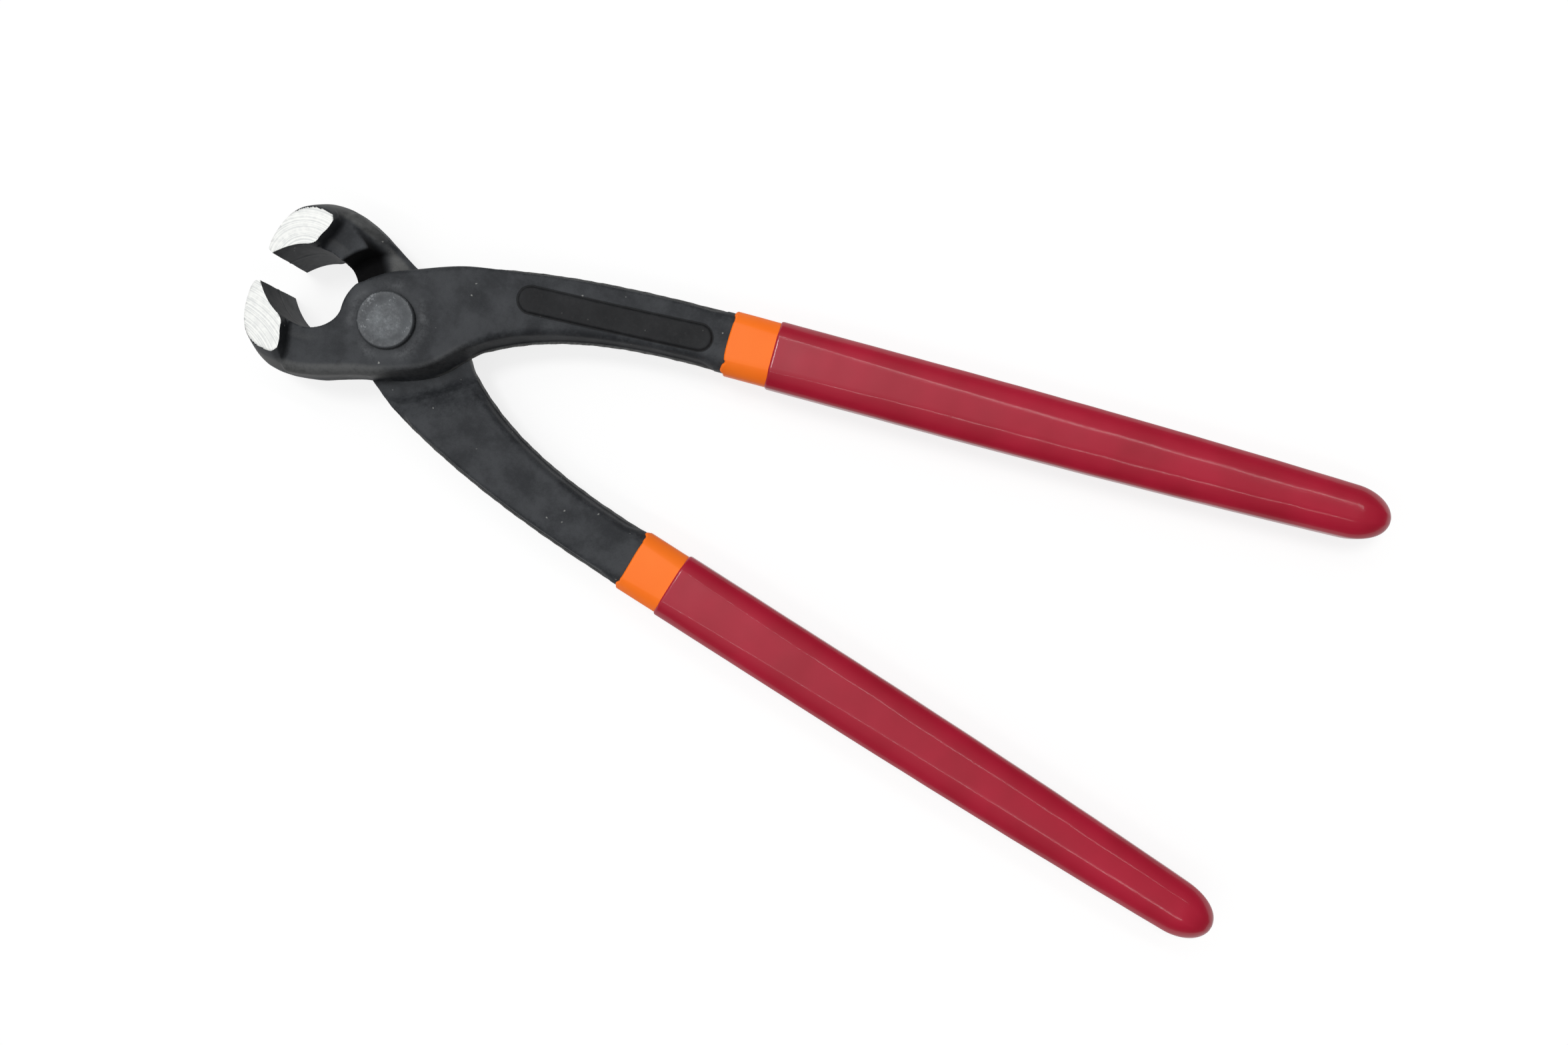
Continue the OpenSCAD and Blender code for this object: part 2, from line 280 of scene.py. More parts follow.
@dataclass
class SurfaceMesher:
    """Draws the zero surface of a solid's field with quads whose corners sit on its edges."""

    solid: Callable[[Array, Array, Array], Array]
    low: tuple[float, float, float]
    high: tuple[float, float, float]
    cell: float
    bisections: int = 12
    pull: float = 0.06
    probe: float = 0.04

    def slope(self, p: Array) -> Array:
        """Direction in which the field rises fastest.

        Args:
            p: points, one a row.

        Returns:
            The direction at each point, of length 1.
        """
        parts = []
        for axis in range(3):
            d = np.zeros(3)
            d[axis] = self.probe
            parts.append(self.solid(*(p + d).T) - self.solid(*(p - d).T))
        g = np.stack(parts, axis=1)
        return g / np.maximum(np.linalg.norm(g, axis=1, keepdims=True), 1e-9)

    def crossings(self, axes: list[Array], values: Array, axis: int) -> tuple[Array, Array, Array]:
        """Finds where the surface crosses the grid's lines along one axis.

        Args:
            axes: the grid's coordinates along x, y and z.
            values: the field on the grid.
            axis: the number of the axis.

        Returns:
            Grid index of each crossed edge, its crossing point, and whether it leaves the solid.
        """
        inside = values < 0
        ahead, behind = [slice(None)] * 3, [slice(None)] * 3
        ahead[axis], behind[axis] = slice(1, None), slice(None, -1)
        index = np.argwhere(inside[tuple(ahead)] != inside[tuple(behind)])
        leaves = inside[tuple(index.T)]
        start = np.stack([axes[k][index[:, k]] for k in range(3)], axis=1)
        low, high = np.zeros(len(index)), np.full(len(index), self.cell)
        direction = np.eye(3)[axis]
        for _ in range(self.bisections):
            middle = (low + high) / 2
            here = self.solid(*(start + middle[:, None] * direction).T) < 0
            same = here == leaves
            low, high = np.where(same, middle, low), np.where(same, high, middle)
        return index, start + ((low + high) / 2)[:, None] * direction, leaves

    def draw(self) -> tuple[Array, Array]:
        """Works out the mesh.

        Returns:
            Its points, and its quads as four point numbers each, facing outwards.
        """
        axes = [np.arange(a, b, self.cell) for a, b in zip(self.low, self.high)]
        values = self.solid(axes[0][:, None, None], axes[1][None, :, None], axes[2][None, None, :])
        size = np.array([len(a) for a in axes])
        cells, points, slopes, quads = [], [], [], []
        for axis in range(3):
            index, point, leaves = self.crossings(axes, values, axis)
            b, c = (axis + 1) % 3, (axis + 2) % 3
            ring = []
            for back_b, back_c in ((1, 1), (0, 1), (0, 0), (1, 0)):
                at = index.copy()
                at[:, b] -= back_b
                at[:, c] -= back_c
                ring.append((at[:, 0] * size[1] + at[:, 1]) * size[2] + at[:, 2])
            ring = np.stack(ring, axis=1)
            ring[~leaves] = ring[~leaves, ::-1]
            quads.append(ring)
            cells.append(ring.ravel())
            points.append(np.repeat(point, 4, axis=0))
            slopes.append(np.repeat(self.slope(point), 4, axis=0))
        names, where = np.unique(np.concatenate(cells), return_inverse=True)
        points, slopes = np.concatenate(points), np.concatenate(slopes)
        corner = np.stack([names // (size[1] * size[2]), names // size[2] % size[1],
                           names % size[2]], axis=1)
        centre = np.array([a[0] for a in axes]) + (corner + 0.5) * self.cell
        near = points - centre[where]
        total = np.bincount(where).astype(float)
        mass = np.stack([np.bincount(where, near[:, k]) for k in range(3)], axis=1) / total[:, None]
        reach = np.sum(slopes * near, axis=1)
        matrix = np.empty((len(names), 3, 3))
        right = np.empty((len(names), 3))
        for i in range(3):
            right[:, i] = np.bincount(where, slopes[:, i] * reach)
            for j in range(3):
                matrix[:, i, j] = np.bincount(where, slopes[:, i] * slopes[:, j])
        weight = self.pull * total
        matrix += weight[:, None, None] * np.eye(3)
        right += weight[:, None] * mass
        spot = np.linalg.solve(matrix, right[:, :, None])[:, :, 0]
        spot = centre + np.clip(spot, -self.cell / 2, self.cell / 2)
        off = np.clip(self.solid(*spot.T), -self.cell / 4, self.cell / 4)
        spot -= off[:, None] * self.slope(spot)
        faces = where.reshape(-1, 4)
        LOG.info("drew %d points and %d quads", len(spot), len(faces))
        return spot, faces

    def bend(self, p: Array, reach: float) -> Array:
        """How sharply the surface turns away round each point.

        Args:
            p: points of the surface.
            reach: distance to the places beside each point that are read.

        Returns:
            About 0 on a flat, above it on an outer edge and below it in a corner.
        """
        n = self.slope(p)
        lean = np.where(np.abs(n[:, :1]) < 0.7, [[1.0, 0, 0]], [[0, 1.0, 0]])
        one = np.cross(n, lean)
        one /= np.linalg.norm(one, axis=1, keepdims=True)
        two = np.cross(n, one)
        around = (one, -one, two, -two)
        return sum(self.solid(*(p + reach * t).T) for t in around) / (4 * reach)


@dataclass(frozen=True)
class HandleSizes:
    """The handle's centre line and its section, along s from the front of the orange dip."""

    neck_len: float = 80.4
    centre_y: float = 20.1
    degrees: float = 2.0
    width: float = 15.0
    thick: float = 9.2
    end_width: float = 10.8
    flat: float = 8.5
    end_flat: float = 2.4
    flat_fade: float = 60.0
    flat_share: float = 0.15
    side_high: float = 1.4
    corner_power: float = 1.3
    inset: float = 0.05
    taper_start: float = 50.0
    grip_len: float = 170.0
    tip_thick: float = 2.0

    def on(self, s: float, n: float) -> Array:
        """Place on the closed half of a point of its handle."""
        c, d = polar(1.0, self.degrees)
        return np.array([self.neck_len + s * c - n * d, self.centre_y + s * d + n * c])

    def across(self, x: Array, y: Array) -> tuple[Array, Array]:
        """Turns places on the closed half to the handle's own directions.

        Args:
            x, y: coordinates on the closed half.

        Returns:
            The distances along the handle and across it.
        """
        c, d = polar(1.0, self.degrees)
        u, v = x - self.neck_len, y - self.centre_y
        return u * c + v * d, v * c - u * d

    def half_width(self, s: Array) -> Array:
        """Half of the steel's width at a distance along the handle."""
        t = np.maximum(0, s - self.taper_start) / (self.grip_len - self.taper_start)
        return self.width / 2 - t * t * (self.width - self.end_width) / 2

    def half_flat(self, s: Array) -> Array:
        """Half of the width of the flat above and below the handle."""
        fade = np.exp(-np.maximum(0, s) / self.flat_fade)
        return self.end_flat / 2 + (self.flat - self.end_flat) / 2 * fade

    def core(self, s: Array, n: Array, z: Array) -> Array:
        """Field of the steel inside the dips, without its ends.

        Args:
            s, n, z: places along the handle, across it and up.

        Returns:
            About the distance to the surface, negative in the steel.
        """
        a, b = self.half_width(s) - self.inset, self.thick / 2 - self.inset
        f, h = self.half_flat(s), self.side_high
        u = np.maximum(np.abs(n) - f, 0) / (a - f)
        v = np.maximum(np.abs(z) - h, 0) / (b - h)
        power = 2 / self.corner_power
        return ((u ** power + v ** power) ** (1 / power) - 1) * (b - h)


@dataclass
class ForgedHalf:
    """One forging: jaw, lap plate and neck as one solid field, and the steel inside the dips."""

    handle: HandleSizes
    # Corners of the outline
    edge_reach: float = 30.3
    edge_clear: float = 0.03
    mouth: Point = (-19.5, -7.4)
    nose_low: Point = (-32.97, -6.0)
    nose_top: Point = (-31.4, -0.38)
    crown: Point = (-21.0, -19.3)
    back_root: Point = (12.3, 18.8)
    crotch: Point = (24.0, 0.3)
    belly: Point = (16.5, -6.8)
    heel: Point = (-0.4, -14.6)
    boss_r: float = 11.7
    boss_from: float = 183.0
    boss_to: float = 125.0
    # Ground end of the jaw
    face_back: float = 22.15
    face_slope: float = 0.12
    face_half: float = 12.0
    face_high: float = 15.6
    # Lap joint
    lap_thick: float = 7.5
    lap_clear: float = 0.05
    jaw_pocket_r: float = 17.5
    neck_pocket_r: float = 24.0
    bore_r: float = 4.55
    # Neck: where its upper face falls, its bevels, the flash's ledge and the raised panel
    drop_start: float = 12.0
    drop_end: float = 62.0
    bevel_start: float = -16.0
    bevel_deg: float = 5.92
    bevel_lean: Point = (0.702, 0.712)
    flash_half: float = 0.4
    ledge: float = 0.6
    panel_high: float = 0.4
    panel_len: float = 48.0
    panel_width: float = 6.4
    panel_place: Point = (-27.7, -3.1)
    panel_degrees: float = 4.9
    # Steel inside the dips
    stub: float = 6.0
    bar_start: float = 3.0
    bar_end: float = 166.0
    bar_tip: float = 10.6
    bar_clear: float = 0.03
    bar_segments: int = 64
    bar_rows: int = 60
    # Mesh
    box_low: tuple[float, float, float] = (-34.07, -21.03, -12.41)
    box_high: tuple[float, float, float] = (87.5, 31.2, 12.5)
    cell: float = 0.35
    bend_reach: float = 0.7
    ground_within: float = 0.15
    sharp_deg: float = 58.0
    plan: PlanField = field(init=False)
    face: PlanField = field(init=False)

    def __post_init__(self) -> None:
        """Draws the two outlines and measures them."""
        grip = self.handle
        edge = np.array([-self.edge_reach, -self.edge_clear])
        mouth, low, top = np.array(self.mouth), np.array(self.nose_low), np.array(self.nose_top)
        crown, root, crotch = np.array(self.crown), np.array(self.back_root), np.array(self.crotch)
        belly, heel = np.array(self.belly), np.array(self.heel)
        round_boss = np.linspace(self.boss_from, self.boss_to, 40, endpoint=False)
        throat, boss_end = polar(self.boss_r, self.boss_from), polar(self.boss_r, self.boss_to)
        w, far = grip.width / 2, 14.0
        front = curve([edge, edge + (2.8, 0.61 * mouth[1]), mouth - (4.5, 0), mouth])
        back = curve([mouth, mouth + (3.5, 0), throat - (0.3, 3.9), throat])
        boss = [polar(self.boss_r, a) for a in round_boss]
        shoulder = curve([boss_end, boss_end + polar(6, 35), root - polar(6, 16), root])
        outer = curve([root, root + polar(22.5, 16), grip.on(-22, w), grip.on(0, w)], 48)
        inner = curve([grip.on(0, -w), grip.on(-25, 0.4 - w), crotch + (14, 8.6), crotch], 48)
        hip = (curve([crotch, crotch - (2.5, 1.5), belly + (2, 2.3), belly])
               + curve([belly, belly - (3.5, 3.7), heel + (8.5, 2.4), heel]))
        arm = curve([heel, heel - (6.5, 0.8), crown + (8, 0), crown])
        cheek = curve([crown, crown - (9, 0), low - (0, 9.5), low])
        tip = curve([low, low + (0, 2.5), top - (1.2, 0.9), top], 12) + [top]
        self.plan = PlanField(front + back + boss + shoulder + outer
                              + [grip.on(0, w), grip.on(far, w), grip.on(far, -w)]
                              + inner + hip + arm + cheek + tip)
        x, y = -self.face_back, -self.face_high
        high, nose = np.array([x - 1.4, y]), low + (0.9, 1)
        self.face = PlanField(
            front + [mouth, np.array([mouth[0], y + 2.5])]
            + curve([(x + 1.4, y + 1), (x + 0.4, y + 0.2), high + (0.8, 0), high])
            + curve([high, high - (5.8, 0), nose - (-0.2, 6.8), nose])
            + curve([nose, nose + (0, 2), top - (0.7, 1), top], 12) + [top],
            high=(-15.0, 5.0))

    def panel_frame(self) -> Matrix:
        """Where the raised panel is.

        Returns:
            The place of its middle on the closed half, with its turn.
        """
        middle = (self.handle.neck_len + self.panel_place[0],
                  self.handle.centre_y + self.panel_place[1], 0)
        turn = math.radians(self.panel_degrees)
        return Matrix.Translation(middle) @ Matrix.Rotation(turn, 4, "Z")

    def panel_size(self) -> Point:
        """Half of the panel's straight length, and the radius of its ends."""
        return (self.panel_len - self.panel_width) / 2, self.panel_width / 2

    def panel(self, x: Array, y: Array) -> Array:
        """Distance to the raised panel's outline, a stadium.

        Args:
            x, y: coordinates on the closed half.

        Returns:
            The distance at each place, negative inside.
        """
        back = self.panel_frame().inverted()
        u, v = (back[k][0] * x + back[k][1] * y + back[k][3] for k in range(2))
        straight, radius = self.panel_size()
        return np.hypot(np.maximum(np.abs(u) - straight, 0), v) - radius

    def unevenness(self, x: Array, y: Array, z: Array) -> Array:
        """Small waves that the forging dies leave in the faces, 5 to 14 mm long.

        Args:
            x, y, z: coordinates, of shapes that go together.

        Returns:
            How far the surface sinks at each place.
        """
        waves = ((0.016, 0.55, 0.32, 0.41, 0.3), (0.014, -0.38, 0.71, 0.25, 1.9),
                 (0.012, 0.93, -0.52, 0.66, 4.1), (0.010, 0.21, 1.13, -0.48, 2.6))
        return sum(a * np.sin(u * x + v * y + w * z + t) for a, u, v, w, t in waves)

    def pocket(self, x: Array, y: Array, z: Array) -> Array:
        """Field of what the lap pocket leaves, negative outside the room for the other half.

        Args:
            x, y, z: coordinates, of shapes that go together.

        Returns:
            About the distance to the pocket's surface.
        """
        r, deep = np.hypot(x, y), z - self.lap_clear
        # On the neck the wall slopes at 45 degrees, outside the other half's outline
        beside = np.minimum(self.plan.at(x, -y) - 1.3, r - self.jaw_pocket_r - 0.3)
        beside = np.minimum(beside, np.maximum(r - self.neck_pocket_r, y - 0.5))
        # On the jaw it is round and steep, and leans more towards the outer edge
        outside = ramp(-y, 12.5, 16.5)
        lean = 0.06 + 0.9 * outside
        steep = r - self.jaw_pocket_r + lean * np.maximum(deep, -self.lap_thick)
        room = np.where(x > 0, (beside + deep) / math.sqrt(2), steep / np.hypot(1, lean))
        return round_join(-deep, -room, np.where(x > 0, 0.8, 0.6 + 0.5 * outside))

    def field(self, x: Array, y: Array, z: Array) -> Array:
        """The solid, in the closed half's own place.

        Args:
            x, y, z: coordinates, of shapes that go together.

        Returns:
            About the distance to the surface, negative in the steel.
        """
        grip, high = self.handle, np.abs(z)
        plan, face, r = self.plan.at(x, y), self.face.at(x, y), np.hypot(x, y)
        s, n = grip.across(x, y)
        # How far a place belongs to each part of the forging, from 0 to 1
        hip = 1 - ramp(np.hypot(x - 13, y + 9), 8, 13)
        arm = ramp(-y, 10, 13) * (1 - ramp(x, 0, 6))
        mouth = ramp(-x, 8, 10) * ramp(y, -13, -11)
        neck = ramp(x, -4, 6) * (1 - hip)
        back_side = ramp(n, -3, 3)
        claw = ramp(2 - self.face_back - x, 0, 2)
        boss = ramp(-x, 2, 6) * ramp(y, -7, -3)
        before_dip = 1 - ramp(s, -6, -0.5)
        # The flash's ledge, the lean of the sides, and the radius of the edges
        ledge = self.ledge * neck * before_dip
        draft = (0.06 + 0.2 * hip - 0.06 * mouth
                 + (0.14 - 0.06 * back_side) * neck * ramp(x, 14, 30) * before_dip)
        soft = 0.7 - 0.4 * mouth + 0.4 * boss + 0.9 * neck * (1 - back_side)
        soft = soft + arm * (1 - hip) * (np.where(z > 0, 1.7, 3.6) - soft)
        soft = np.where(claw > 0, soft * (1 - 0.85 * claw * ramp(high, 8, 11.5)), soft)

        # The upper face falls from the lap plate to the handle, and has the raised panel on it
        half = grip.thick / 2
        drop = self.lap_thick + (half - self.lap_thick) * ramp(x, self.drop_start, self.drop_end)
        lift = self.panel_high * (1 - ramp(self.panel(x, y), -0.3, 0.05))
        under = np.where(x < 0, self.lap_thick, half)
        flats = np.maximum(z - drop - lift, -z - under)
        back = (x + self.face_back - 0.45 * np.tanh((-10.8 - y) / 1.5)
                - self.face_slope * (self.face_half - high))
        flats = round_join(flats, np.maximum(high - self.face_half, back), 0.9)
        lean = np.minimum(high / self.face_half, 1) ** 1.4
        side = plan + ledge + (1 - claw) * draft * high + claw * (face - plan) * lean
        steel = round_meet(side, flats, soft)
        # The claw, whose back stands over the lap plate
        above = ramp(high, self.lap_thick + 0.6, self.lap_thick + 1.2)
        steel = np.maximum(steel, round_meet(side, back, 1.6) - 300 * (1 - above))
        # The sheared flash all round, 0.8 mm thick and up to 0.12 mm inside the outline
        ragged = 0.06 + 0.03 * np.sin(x * 1.7 + 0.6) + 0.03 * np.sin(x * 0.61 + y)
        flash = round_meet(plan + ragged, high - self.flash_half, 0.15)
        steel = round_join(steel, flash, 0.25)
        # The long bevels that run out from the dips along the neck's edges
        (along, into), (out, up) = polar(1.0, self.bevel_deg), self.bevel_lean
        corner = ((s - self.bevel_start) * into
                  + along * (out * plan + up * (high - half)))
        steel = round_meet(steel, corner - 30 * ramp(-s, 26, 60), 1.0)
        calm = ramp(high, 0.3, 1.5) * (1 - ramp(high, 10, 11.5))
        steel = steel + self.unevenness(x, y, z) * calm
        # It ends where the dips begin, but for a stub of the bar inside them
        steel = np.maximum(steel, s)
        core = np.maximum(grip.core(s, n, z), np.maximum(s - self.stub, -2 - s))
        steel = np.minimum(steel, core)

        kept = self.pocket(x, y, z)
        steel = round_meet(steel, kept, np.where(
            x > 0, 0.05 + 3.5 * ramp(-z, 0.5, 3), 0.1 + 0.8 * ramp(-z, 1, 4)))
        return np.maximum(steel, self.bore_r - r)

    def bar(self) -> bpy.types.Object:
        """Makes the steel inside the dips, from inside the neck to its round tip.

        Returns:
            The object, on the closed half in millimetres.
        """
        grip, turn = self.handle, np.arange(self.bar_segments) * math.tau / self.bar_segments
        cosine, sine = np.cos(turn), -np.sin(turn)
        tip_start = self.bar_end - self.bar_tip
        along = [(s, 1.0) for s in np.linspace(self.bar_start, tip_start, self.bar_rows)]
        along += [(self.bar_end - self.bar_tip * (1 - math.sin(a)), math.cos(a))
                  for a in np.radians(np.arange(6, 90, 6))]
        points = [(*grip.on(self.bar_start, 0), 0)]
        for s, shrink in along:
            reach = []
            for wave, span, level in ((cosine, grip.half_width(s), grip.half_flat(s)),
                                      (sine, grip.thick / 2, grip.side_high)):
                bent = np.sign(wave) * np.abs(wave) ** grip.corner_power
                reach.append(shrink * (bent * (span - grip.inset - self.bar_clear - level)
                                       + np.clip(wave / grip.flat_share, -1, 1) * level))
            points += [(*grip.on(s, n), z) for n, z in zip(*reach)]
        points.append((*grip.on(self.bar_end, 0), 0))
        return add_mesh("bar", points, tube_faces(len(along), self.bar_segments))

    def marks(self, x: Array, y: Array, z: Array) -> tuple[Array, Array]:
        """Where the forging gets painted shadow, and where it is paler from wear and painted light.

        Args:
            x, y, z: places on its surface.

        Returns:
            The shares of painted shadow and of paler wear and painted light at each place, from 0
            to 1.
        """
        flat, high = self.plan.at(x, y), np.abs(z)
        # The recess's wall gets painted shadow in the lap joint's corner, and at its foot a pale
        # patch that is partly rub marks and partly a painted pool of light
        wall = 1 - ramp(np.abs(self.pocket(x, y, z)), 0.05, 0.5)
        turn = np.degrees(np.arctan2(-y, -x))
        painted_shadow = wall * (1 - ramp(turn, 46, 58)) * ramp(-x, 5, 7) * ramp(y, -15.5, -13.5)
        foot = (wall * ramp(turn, 50, 60) * (1 - ramp(turn, 68, 84))
                * (1 - ramp(flat, -1.8, -0.8)))
        # The rounded outer edges of the arm, fainter on the hip: paler partly from wear and partly
        # as painted light that stands in for light thrown up from the floor
        hip = 1 - ramp(np.hypot(x - 13, y + 9), 9, 15)
        arm = np.maximum(ramp(-y, 7, 14) * (1 - ramp(x, 1, 8)), 0.35 * hip)
        arm *= ramp(high, 1.5, 4.5) * (1 - ramp(high, 7, 9.5)) * ramp(flat, -3.4, -2.4)
        # The sheared flash along the neck: paler bare steel, with painted light over the shade
        # beside the wall above it
        sheared = ramp(x, 12, 16) * (1 - ramp(high, 0.45, 0.9)) * ramp(flat, -0.7, -0.4)
        return painted_shadow, np.maximum(np.maximum(0.6 * sheared, 0.42 * arm), 0.55 * foot)

    def build(self, name: str, place: Matrix, steel: bpy.types.Material,
              ground: bpy.types.Material) -> bpy.types.Object:
        """Makes the forging's mesh in its place in the frame.

        Args:
            name: the object's name.
            place: from the closed half, in millimetres, to the frame.
            steel: the finish of the forging.
            ground: the finish of its ground ends.

        Returns:
            The object, with attributes for its finish: its bend, its painted shadow, and its paler
            wear and painted light.
        """
        mesher = SurfaceMesher(self.field, self.box_low, self.box_high, self.cell)
        points, faces = mesher.draw()
        obj = add_mesh(name, points.tolist(), faces.tolist())
        painted_shadow, worn = self.marks(*points.T)
        bend = mesher.bend(points, self.bend_reach)
        for label, share in (("bend", bend), ("painted_shadow", painted_shadow), ("worn", worn)):
            values = obj.data.attributes.new(label, "FLOAT", "POINT").data
            values.foreach_set("value", share.astype(np.float32))
        end = np.abs(np.abs(points[:, 2]) - self.face_half) < self.ground_within
        for finish in (steel, ground):
            obj.data.materials.append(finish)
        is_ground = end[faces].all(axis=1).astype(np.int32)
        obj.data.polygons.foreach_set("material_index", is_ground)
        bar = self.bar()
        bar.data.materials.append(steel)
        union = obj.modifiers.new("steel inside the dips", "BOOLEAN")
        union.operation, union.solver, union.object = "UNION", "MANIFOLD", bar
        apply_modifiers(obj)
        bpy.data.objects.remove(bar)
        obj.data.transform(place)
        shade_smooth(obj.data, self.sharp_deg)
        return obj


@dataclass
class Dip:
    """One coat of soft plastic on a handle, drawn by nodes along the handle."""

    name: str
    inner: float
    outer: float
    front: float
    wave: float
    lip: float
    seed: float
    both_coats: float = 1.05
    unevenness: float = 0.12
    flat_growth: float = 0.4
    lower_seed: float = 7.0
    tip_len: float = 10.6
    rows: int = 170
    turns: int = 120

    def surface(self, tree: bpy.types.NodeTree, sizes: dict[str, Any], handle: HandleSizes,
                outside: bool) -> bpy.types.Node:
        """Adds the nodes of the outer or the inner surface.

        Args:
            tree: the node tree.
            sizes: its inputs by name.
            handle: the handle's sizes.
            outside: whether this is the outer surface.

        Returns:
            The node whose output is the surface.
        """
        grid = add_node(tree, "GeometryNodeMeshGrid", [1.0, 1.0, sizes["Rows"], sizes["Turns"]])
        place = add_node(tree, "GeometryNodeInputPosition")
        place = add_node(tree, "ShaderNodeSeparateXYZ", [place])
        angle = add_node(tree, MATH, [place.outputs[1], math.tau, math.pi],
                         operation="MULTIPLY_ADD")
        cosine = add_node(tree, MATH, [angle], operation="COSINE")
        sine = add_node(tree, MATH, [angle], operation="SINE")
        circle = add_node(tree, "ShaderNodeCombineXYZ", [cosine, sine, sizes["Seed"]])
        ripple = add_node(tree, NOISE, {"Vector": circle, "Scale": 1.4, "Detail": 1.0})
        ripple = add_node(tree, MATH, [ripple, 0.5], operation="SUBTRACT")
        front = add_node(tree, MATH, [ripple, sizes["Wave"], sizes["Front"]],
                         operation="MULTIPLY_ADD")
        end = sizes["Outer End" if outside else "Inner End"]
        s = add_node(tree, REMAP, [place.outputs[0], -0.5, 0.5, front, end],
                     interpolation_type="SMOOTHSTEP")
        slow = add_node(tree, MATH, [s, 0.09], operation="MULTIPLY")
        slow = add_node(tree, "ShaderNodeCombineXYZ", [slow, cosine, sine])
        lump = add_node(tree, NOISE, {"Vector": slow, "Scale": 1.0, "Detail": 1.0})
        made = {**sizes, "s": s, "front": front, "end": end, "cosine": cosine, "sine": sine,
                "lump": lump}
        steps = [("lump", "SUBTRACT", "lump", 0.5),
                 ("under", "MULTIPLY_ADD", "lump", "Inner Unevenness", "Inner")]
        if outside:
            steps += [("past", "SUBTRACT", "s", "front"), ("past", "DIVIDE", "past", "Lip"),
                      ("past", "MINIMUM", "past", 1.0), ("rest", "SUBTRACT", 2.0, "past"),
                      ("rise", "MULTIPLY", "past", "rest"), ("rise", "SQRT", "rise"),
                      ("over", "MULTIPLY_ADD", "lump", "Outer Unevenness", "Outer"),
                      ("over", "SUBTRACT", "over", "under"),
                      ("skin", "MULTIPLY_ADD", "over", "rise", "under")]
        else:
            steps += [("skin", "ADD", "under", 0.0)]
        steps += [
            ("taper", "SUBTRACT", "s", handle.taper_start), ("taper", "MAXIMUM", "taper", 0.0),
            ("taper", "DIVIDE", "taper", handle.grip_len - handle.taper_start),
            ("taper", "MULTIPLY", "taper", "taper"),
            ("wide", "MULTIPLY_ADD", "taper", (handle.end_width - handle.width) / 2,
             handle.width / 2 - handle.inset), ("wide", "ADD", "wide", "skin"),
            ("tall", "ADD", "skin", handle.thick / 2 - handle.inset),
            ("fade", "MAXIMUM", "s", 0.0), ("fade", "DIVIDE", "fade", -handle.flat_fade),
            ("fade", "EXPONENT", "fade"),
            ("flat", "MULTIPLY_ADD", "fade", (handle.flat - handle.end_flat) / 2,
             handle.end_flat / 2), ("flat", "MULTIPLY_ADD", "skin", self.flat_growth, "flat"),
            ("upright", "MULTIPLY_ADD", "skin", self.flat_growth, handle.side_high),
            ("tip", "SUBTRACT", "s", "end"), ("tip", "DIVIDE", "tip", "Tip Length"),
            ("tip", "ADD", "tip", 1.0), ("tip", "MAXIMUM", "tip", 0.0),
            ("tip", "MINIMUM", "tip", 1.0), ("tip", "MULTIPLY", "tip", "tip"),
            ("shrink", "SUBTRACT", 1.0, "tip"), ("shrink", "SQRT", "shrink")]
        for wave, span, level in (("cosine", "wide", "flat"), ("sine", "tall", "upright")):
            steps += [("bent", "ABSOLUTE", wave), ("bent", "POWER", "bent", handle.corner_power),
                      ("way", "SIGN", wave), ("bent", "MULTIPLY", "bent", "way"),
                      ("even", "DIVIDE", wave, handle.flat_share),
                      ("even", "MAXIMUM", "even", -1.0), ("even", "MINIMUM", "even", 1.0),
                      ("even", "MULTIPLY", "even", level),
                      ("rest", "SUBTRACT", span, level),
                      ("out", "MULTIPLY_ADD", "bent", "rest", "even"),
                      (wave + " out", "MULTIPLY", "out", "shrink")]
        for label, operation, *values in steps:
            made[label] = add_node(tree, MATH, [made.get(v, v) for v in values],
                                   operation=operation)
        spot = [s, made["cosine out"], made["sine out"]]
        spot = add_node(tree, "ShaderNodeCombineXYZ", spot)
        moved = add_node(tree, "GeometryNodeSetPosition", {"Geometry": grid, "Position": spot})
        return add_node(tree, "GeometryNodeStoreNamedAttribute",
                        {"Geometry": moved, "Name": "along", "Value": s},
                        data_type="FLOAT", domain="POINT")

    def build(self, side: Side, handle: HandleSizes, place: Matrix,
              material: bpy.types.Material) -> bpy.types.Object:
        """Makes the coat's mesh in its place in the frame.

        Args:
            side: the half that it is on.
            handle: the handle's sizes.
            place: from the closed half, in millimetres, to the frame.
            material: its finish.

        Returns:
            The object.
        """
        name = f"{side.value}_{self.name}_coat"
        steel_end = handle.grip_len - 2 * handle.tip_thick
        thicker = 2 * handle.tip_thick / self.both_coats
        values = {
            "Rows": self.rows, "Turns": self.turns, "Inner": self.inner, "Outer": self.outer,
            "Front": self.front, "Wave": self.wave, "Lip": self.lip,
            "Inner End": steel_end + thicker * self.inner,
            "Outer End": steel_end + thicker * self.outer,
            "Tip Length": self.tip_len,
            "Seed": self.seed + (self.lower_seed if side is Side.LOWER else 0.0),
            "Inner Unevenness": self.unevenness if self.inner else 0.0,
            "Outer Unevenness": self.unevenness,
        }
        tree = bpy.data.node_groups.new(name, "GeometryNodeTree")
        for label, value in values.items():
            kind = "NodeSocketInt" if isinstance(value, int) else "NodeSocketFloat"
            tree.interface.new_socket(label, in_out="INPUT", socket_type=kind)
        tree.interface.new_socket("Geometry", in_out="OUTPUT", socket_type="NodeSocketGeometry")
        given = add_node(tree, "NodeGroupInput")
        sizes = {label: given.outputs[label] for label in values}
        joined = add_node(tree, "GeometryNodeJoinGeometry")
        for outside in (True, False):
            tree.links.new(self.surface(tree, sizes, handle, outside).outputs[0], joined.inputs[0])
        closed = add_node(tree, "GeometryNodeMergeByDistance",
                          {"Geometry": joined, "Distance": 0.004})
